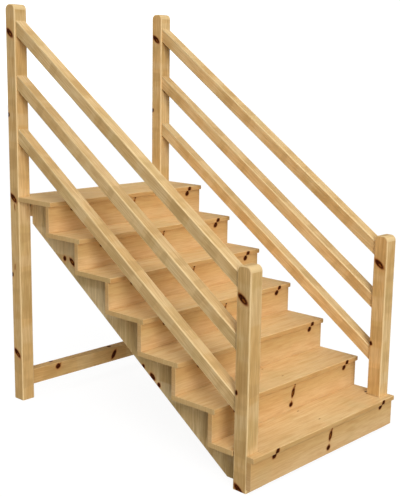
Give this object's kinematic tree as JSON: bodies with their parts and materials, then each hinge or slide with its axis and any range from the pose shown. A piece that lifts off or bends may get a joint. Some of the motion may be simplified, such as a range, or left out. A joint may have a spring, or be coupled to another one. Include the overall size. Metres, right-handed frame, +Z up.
{
  "type": "wooden deck stairs",
  "caption": "Straight freestanding timber stair to a raised deck: closed treads and risers on two sawtooth stringers, square posts and three sloping rails on each side.",
  "frame": {"origin": "on the ground, at the middle of the flight's width and depth", "axes": "+Z up; +Y towards the deck, the way a person climbs; +X to the right of that person"},
  "size_m": [1.31, 2.019, 2.477],
  "materials": {
    "treads": "planed knotty softwood, clear satin finish",
    "risers": "planed knotty softwood, clear satin finish",
    "stringers": "planed knotty softwood, clear satin finish",
    "posts": "planed knotty softwood, clear satin finish",
    "rails": "planed knotty softwood, clear satin finish",
    "cross_members": "planed knotty softwood, clear satin finish"
  },
  "bodies": {
    "root": {"tread_1": "treads", "tread_2": "treads", "tread_3": "treads", "tread_4": "treads", "tread_5": "treads", "tread_6": "treads", "tread_7": "treads", "riser_1": "risers", "riser_2": "risers", "riser_3": "risers", "riser_4": "risers", "riser_5": "risers", "riser_6": "risers", "riser_7": "risers", "stringer_left": "stringers", "stringer_right": "stringers", "post_front_left": "posts", "post_front_right": "posts", "post_rear_left": "posts", "post_rear_right": "posts", "rail_left_top": "rails", "rail_left_middle": "rails", "rail_left_bottom": "rails", "rail_right_top": "rails", "rail_right_middle": "rails", "rail_right_bottom": "rails", "crossbar_low": "cross_members", "beam_top": "cross_members"}
  },
  "joints": []
}
